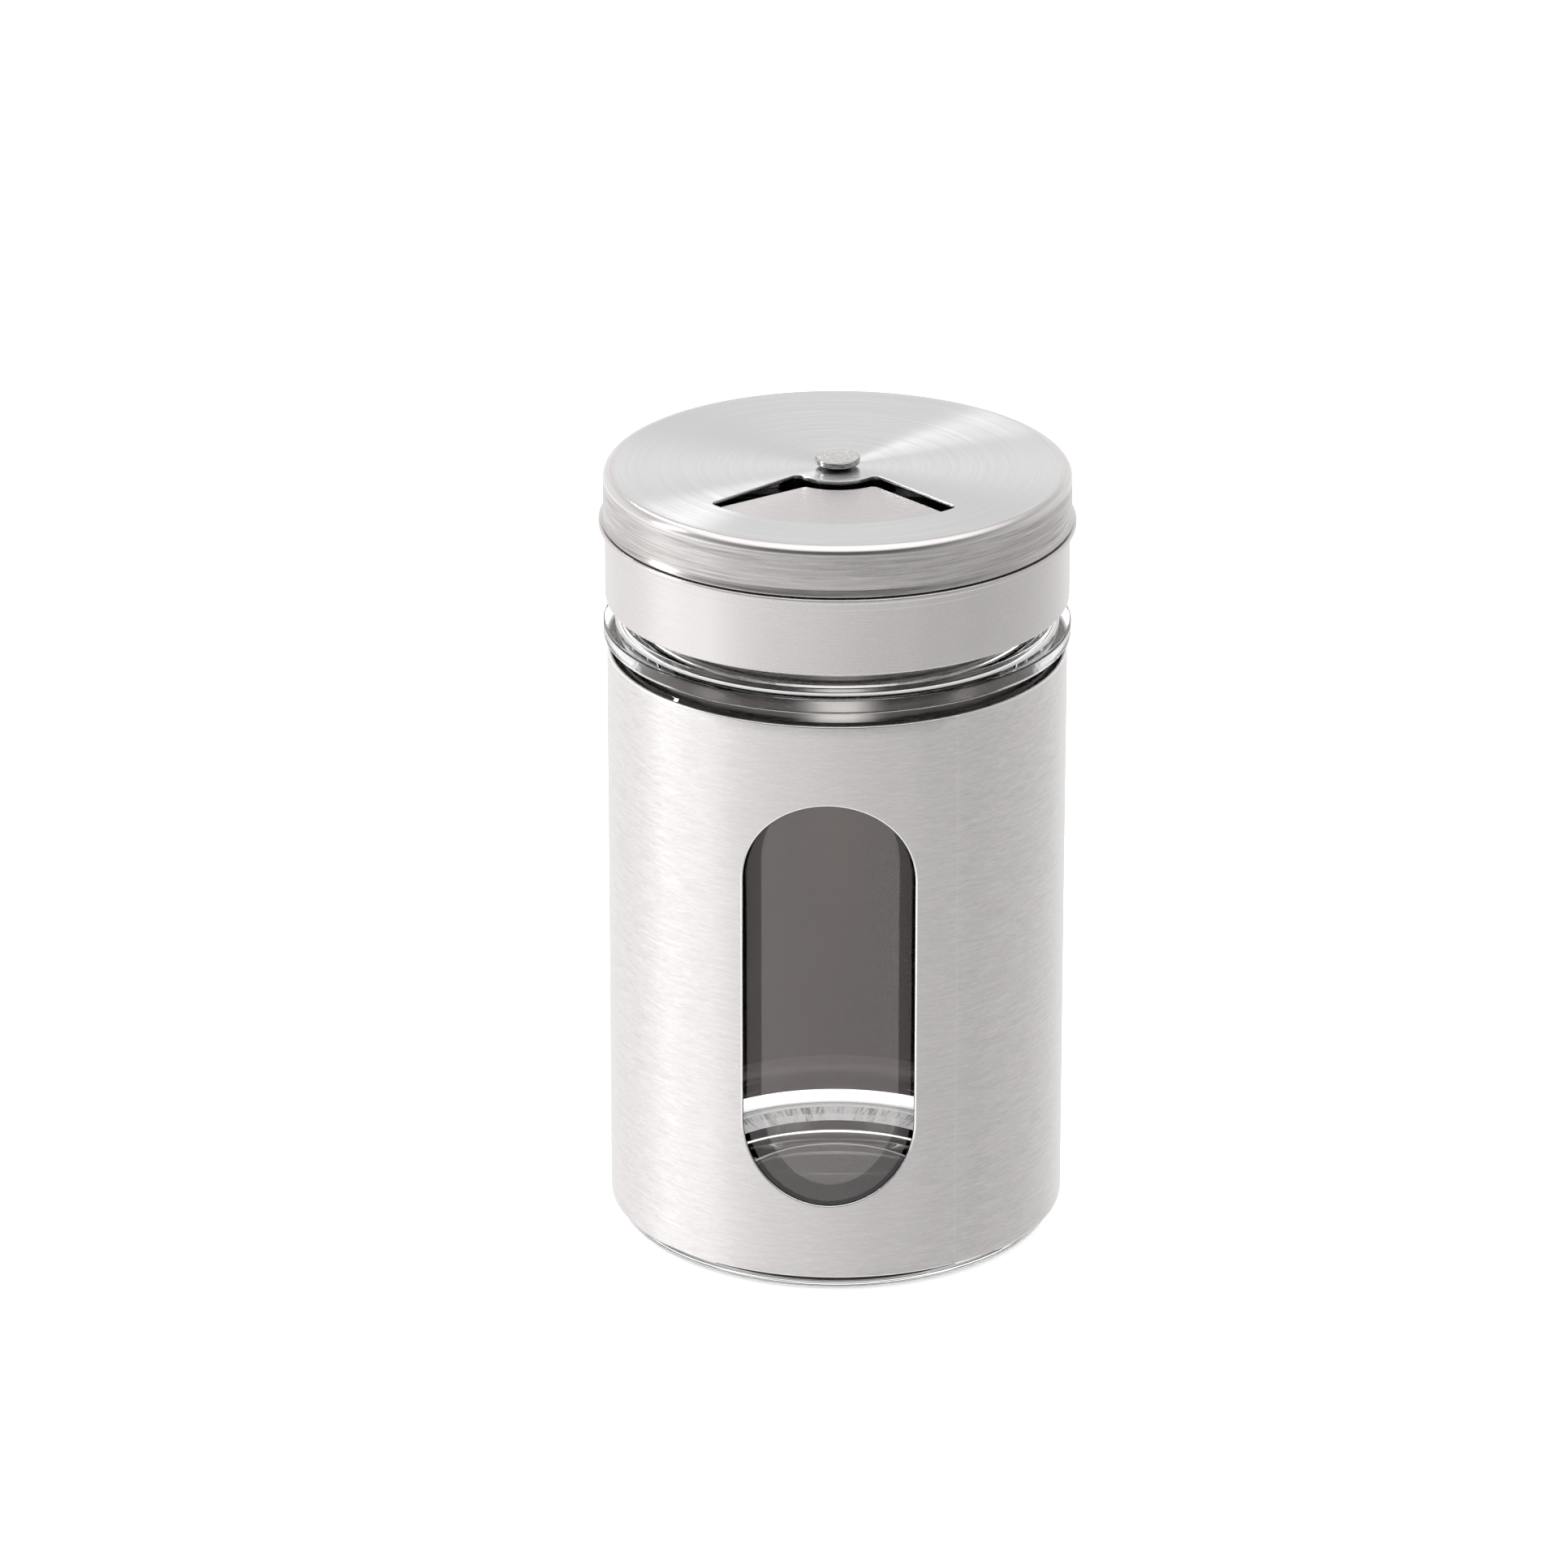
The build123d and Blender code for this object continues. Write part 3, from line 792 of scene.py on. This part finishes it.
for outline, holes in panels:
    def inset(grow, outline=outline):
        return outline(grow - cap_sheet)
    above = wall_loops(outline, plate_top, sector_top, sector_foot_round, sector_edge_round)
    below = wall_loops(inset, plate_low, sector_under, hole_edge_round, sector_edge_round)
    cap.bands(above)
    cap.bands(below)
    cuts = [hole_loops(hole, sector_top, sector_under, hole_edge_round) for hole in holes]
    for cut in cuts:
        cap.bands(cut)
    cap.fill([above[-1]] + [cut[0] for cut in cuts])
    cap.fill([below[-1]] + [cut[-1] for cut in cuts])
    upper_feet.append(above[0])
    lower_feet.append(below[0])
cap.fill([ring(cap_flat_radius, plate_top, cap_columns)] + upper_feet)
cap.fill([ring(cap_flat_radius, plate_low, cap_columns)] + lower_feet)
cap_looks = [
    brushed_steel("cap_steel", cap_steel, cap_grain, roughness=0.28, spread=0.75),
    brushed_steel("cap_shaded_steel", shaded_steel, inner_grain, roughness=0.4, spread=0.3),
]
piece = dress(cap.made("cap_shell"), cap_looks, "cap_steel", "lid", "screw_cap")
for face in piece.data.polygons:
    x, y, z = face.center
    # Painted shade: faces under the dispenser's cover, in a wedge round the front, are near black
    in_cover = hypot(x, y) < cap_neck_radius and z < sector_top - sector_edge_round
    if in_cover and abs(atan2(x, -y)) < shade_turn:
        face.material_index = 1

# Dispenser cap
dispenser = Shell()
dispenser_bore_radius = dispenser_radius - dispenser_sheet
turned(dispenser, rounded([
    (dispenser_flat_radius, dispenser_top, 0),
    (dispenser_radius, dispenser_top, dispenser_top_round),
    (dispenser_radius, dispenser_flare_top, dispenser_flare_round),
    (dispenser_flare_radius, dispenser_edge, dispenser_edge_round),
    (dispenser_flare_radius - dispenser_sheet, dispenser_edge, dispenser_edge_round),
    (dispenser_bore_radius, dispenser_flare_top, dispenser_flare_round),
    (dispenser_bore_radius, dispenser_low, dispenser_top_round - dispenser_sheet),
    (dispenser_flat_radius, dispenser_low, 0),
], fine_arc_points), cap_columns)
opening = sector(opening_turn, opening_offset, opening_turn, opening_offset, opening_inner_radius,
                 opening_outer_radius, opening_corner_round)
cuts = [hole_loops(outline, dispenser_top, dispenser_low, opening_edge_round)
        for outline in (opening, disc(rivet_hole_radius))]
for cut in cuts:
    dispenser.bands(cut)
dispenser.fill([ring(dispenser_flat_radius, dispenser_top, cap_columns)] + [cut[0] for cut in cuts])
dispenser.fill([ring(dispenser_flat_radius, dispenser_low, cap_columns)] + [cut[-1] for cut in cuts])
dispenser_looks = [
    brushed_steel("dispenser_steel", top_steel, top_grain, roughness=0.23, spread=1.0),
    brushed_steel("dispenser_skirt_painted_shade", skirt_painted_shade_steel, skirt_grain, roughness=0.28, spread=0.75),
    brushed_steel("dispenser_rim_steel", steel, rim_grain, roughness=0.18, spread=0.6),
]
piece = dress(dispenser.made("dispenser_shell"), dispenser_looks, "dispenser_steel", "dispenser",
              "dispenser_cap")
for face in piece.data.polygons:
    x, y, z = face.center
    # Painted shade: the skirt gets a darker copy of the steel, and the rounded rim keeps a lighter one
    if hypot(x, y) > dispenser_flat_radius:
        face.material_index = 2 if z > dispenser_top - dispenser_top_round else 1

# Rivet
rivet = Shell()
rivet_path = divided(rounded([
    (0, rivet_high, 0),
    (rivet_head_radius - wave_room, rivet_high - rivet_head_crown, rivet_round),
    (rivet_head_radius - wave_room - rivet_head_taper, rivet_head_under, rivet_round),
    (rivet_radius, rivet_head_under, rivet_shank_round),
    (rivet_radius, washer_low, rivet_shank_round),
    (rivet_tail_radius, washer_low, rivet_round),
    (rivet_tail_radius, rivet_low, rivet_round),
    (0, rivet_low, 0),
]), rivet_step)
turned(rivet, rivet_path, rivet_columns)
rivet_look = brushed_steel("rivet_steel", rivet_steel, rivet_grain, roughness=0.24, spread=0.2)
rivet_looks = [
    rivet_look,
    brushed_steel("rivet_painted_shade_side_steel", rivet_painted_shade_side_steel, rivet_side_grain, roughness=0.2, spread=0.2),
    brushed_steel("rivet_shaded_steel", shaded_steel, rivet_shade_grain, roughness=0.5, spread=0.2),
]
piece = dress(rivet.made("rivet_body"), rivet_looks, "rivet_steel", "lid", "pivot_rivet")
for face in piece.data.polygons:
    x, y, z = face.center
    # Painted shadow: the rivet below its head is near black
    if z < rivet_head_under + rivet_shade_height:
        face.material_index = 2
    # Painted shade on the rivet head's side
    elif hypot(x, y) > rivet_head_radius - rivet_side_width:
        face.material_index = 1
piece.data.update()
for vertex in piece.data.vertices:
    if vertex.co.z > rivet_high - 2 * rivet_head_thickness:
        dent = sum(depth * noise.noise(vertex.co * waves) for waves, depth in rivet_dents)
        vertex.co += vertex.normal * (dent - rivet_wear)

# CAD nodes that stay, with their finishes
stays = {
    "rivet_washer": rivet_look,
    "thread_insert": plain_plastic("liner_plastic", liner_black, roughness=0.4),
    "mouth_seal": plain_plastic("seal_rubber", seal_grey, roughness=0.6),
}
for name, look in stays.items():
    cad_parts[name].data.materials.clear()
    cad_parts[name].data.materials.append(look)

# Pale floor with a faint glow. Mirror images don't show it, and it is open under the jar's base
white = (1, 1, 1, 1)
floor_white = (0.93, 0.93, 0.93, 1)
floor_glow = 0.5
floor_reach = 4.0
floor_columns = 96
floor_hole_radius = 16.6 * MM
floor_hole_forward = 4.6 * MM
floor_hole = [(x, y - floor_hole_forward, z) for x, y, z in ring(floor_hole_radius, 0, floor_columns)]
floor_form = Shell()
floor_form.bands([floor_hole, ring(floor_reach, 0, floor_columns)])
floor = floor_form.made("floor")
floor_look, tree = new_material("pale_floor")
matte = node(tree, "BsdfDiffuse", {"Color": floor_white}).outputs[0]
glow = node(tree, "Emission", {"Color": white, "Strength": floor_glow}).outputs[0]
shader = node(tree, "AddShader", {0: matte, 1: glow})
node(tree, "OutputMaterial", {"Surface": shader.outputs[0]})
floor.data.materials.append(floor_look)
floor.visible_glossy = False

# World: white behind the object, and soft panels for the steel and glass to reflect. The low panels are
# under the horizon and the high ones over it, with their light by turn in degrees. The shares and the
# light that is seen through glass, under the horizon, go by the height of the direction, from -1 to 1
low_light = {-180: 0.95, -161: 0.98, -133: 0.97, -119: 1.0, -107: 1.05, -95: 1.18, -88: 1.2, -78: 1.17,
             -66: 1.14, -57: 0.94, -50: 0.83, -36: 0.62, -19: 0.58, 0: 0.5, 14: 0.44, 31: 0.38, 48: 0.42,
             67: 0.53, 88: 0.59, 106: 0.61, 125: 0.68, 143: 0.78, 160: 0.91, 180: 0.95}
front_light = {-180: 0.0, -75: 0.0, -50: 0.6, -36: 1.1, 36: 1.1, 50: 0.6, 75: 0.0, 180: 0.0}
high_light = {-180: 0.9, -150: 0.92, -110: 0.88, -70: 0.5, -30: 0.15, 0: 0.1, 30: 0.13, 70: 0.4, 110: 0.66,
              150: 0.82, 180: 0.9}
high_share = {-1: 1.0, 0.3: 1.0, 0.5: 0.72, 0.62: 0.72, 1: 0.72}
steep_share = {-1: 1.0, -0.85: 1.0, -0.7: 0.0, 1: 0.0}
steep_light = 1.15
through_light = {-1: 1.1, -0.6: 1.1, -0.5: 0.08, -0.3: 0.08, -0.23: 1.1, 1: 1.1}
strip_share = {-1: 0.0, -0.46: 0.0, -0.41: 1.0, -0.35: 1.0, -0.3: 0.0, 1: 0.0}
zenith_share = {-1: 0.0, 0.62: 0.0, 0.86: 1.0, 1: 1.0}
horizon_share = {-1: 0.0, -0.06: 0.0, 0.06: 1.0, 1: 1.0}
zenith_light = 1.3
plain_light = 1.7

world = bpy.data.worlds.new("studio")
bpy.context.scene.world = world
world.use_nodes = True
world.cycles.sampling_method = "NONE"
tree = world.node_tree
tree.nodes.clear()
ray = node(tree, "TexCoord").outputs["Generated"]
split = node(tree, "SeparateXYZ", {0: ray})
height = split.outputs["Z"]


def maths(operation, *values):
    """The outcome of a sum on values or sockets."""
    return node(tree, "Math", dict(enumerate(values)), operation=operation).outputs[0]


def mixed(share, first, second):
    """The first value where the share is 0, and the second where it is 1."""
    return node(tree, "Mix", {0: share, 2: first, 3: second}).outputs[0]


def curve(value, least, most, lights):
    """Straight lines through lights at places between two limits."""
    share = node(tree, "MapRange", {"Value": value, "From Min": least, "From Max": most}).outputs[0]
    ramp = node(tree, "ValToRGB", {"Fac": share})
    ramp.color_ramp.interpolation = "LINEAR"
    points = ramp.color_ramp.elements
    brightest = max(lights.values())
    for index, (where, light) in enumerate(lights.items()):
        place = (where - least) / (most - least)
        point = points[index] if index < 2 else points.new(place)
        point.position = place
        point.color = (light / brightest, light / brightest, light / brightest, 1)
    return maths("MULTIPLY", ramp.outputs["Color"], brightest)


def by_turn(lights):
    """Light by the turn of the direction."""
    return curve(turn, -180, 180, lights)


def by_height(lights):
    """Light or a share by the height of the direction."""
    return curve(height, -1, 1, lights)


turn = maths("DEGREES", maths("ARCTAN2", split.outputs["X"], maths("MULTIPLY", split.outputs["Y"], -1.0)))
paths = node(tree, "LightPath")
strip = maths("MULTIPLY", by_turn(front_light), by_height(strip_share))
low_sides = maths("ADD", by_turn(low_light), strip)
low_mirrored = mixed(by_height(steep_share), low_sides, steep_light)
low_panels = mixed(paths.outputs["Is Transmission Ray"], low_mirrored, by_height(through_light))
high_sides = maths("MULTIPLY", by_turn(high_light), by_height(high_share))
high_panels = mixed(by_height(zenith_share), high_sides, zenith_light)
all_panels = mixed(by_height(horizon_share), low_panels, high_panels)
plain = node(tree, "Background", {"Color": white, "Strength": plain_light}).outputs[0]
graded = node(tree, "Background", {"Color": white, "Strength": all_panels}).outputs[0]
shown = node(tree, "MixShader", {0: paths.outputs["Is Glossy Ray"], 1: plain, 2: graded}).outputs[0]
node(tree, "OutputWorld", {"Surface": shown})

# Lights. The tall key on the left draws the narrow bright line over the spun steel, and the streak, higher
# and further back, draws the line across the dispenser's top
light_distance = 1.2
middle_height = cad_high.z / 2
key_turn, key_tilt = radians(-91), radians(24)
key_size = (0.05, 0.6)
key_energy = 3.6
streak_turn, streak_tilt = radians(-154), radians(45)
streak_size = (0.012, 0.3)
streak_energy = 1.0


def panel_light(name, turn, tilt, size, energy, base_height, aim_height):
    """An oblong light at a turn and tilt about a point of the axis, aimed at another point of it."""
    data = bpy.data.lights.new(name, "AREA")
    data.shape = "RECTANGLE"
    data.size, data.size_y = size
    data.energy = energy
    light = bpy.data.objects.new(name, data)
    bpy.context.scene.collection.objects.link(light)
    light.location = (light_distance * sin(turn) * cos(tilt), -light_distance * cos(turn) * cos(tilt),
                      light_distance * sin(tilt) + base_height)
    light.rotation_mode = "QUATERNION"
    light.rotation_quaternion = (Vector((0, 0, aim_height)) - light.location).to_track_quat("-Z", "Y")
    return light


key = panel_light("key", key_turn, key_tilt, key_size, key_energy, middle_height, middle_height)
key.visible_transmission = False
panel_light("streak", streak_turn, streak_tilt, streak_size, streak_energy, 0, cad_high.z)

# Camera at the photograph's viewing angle
aim_height = 41.86 * MM
camera_distance = 893.8 * MM
camera_turn = radians(2)
camera_tilt = radians(22.49)
aim_left = 5.665 * MM
aim_up = 6.45 * MM
right = Vector((cos(camera_turn), sin(camera_turn), 0))
back = Vector((sin(camera_turn) * cos(camera_tilt), -cos(camera_turn) * cos(camera_tilt), sin(camera_tilt)))
up = back.cross(right)
centre = Vector((0, 0, aim_height))
camera_data = bpy.data.cameras.new("camera")
camera_data.lens = 191.09
camera_data.sensor_width = 36.0
camera_data.clip_start = 0.01
camera = bpy.data.objects.new("camera", camera_data)
bpy.context.scene.collection.objects.link(camera)
camera.location = centre + back * camera_distance
aim = centre - right * aim_left + up * aim_up
camera.rotation_mode = "QUATERNION"
camera.rotation_quaternion = (aim - camera.location).to_track_quat("-Z", "Y")
bpy.context.scene.camera = camera

# Plain colours, and enough bounces for a view through both walls of the jar
bpy.context.scene.view_settings.view_transform = "Standard"
bpy.context.scene.cycles.max_bounces = 24
bpy.context.scene.cycles.transmission_bounces = 24
bpy.context.scene.cycles.glossy_bounces = 8
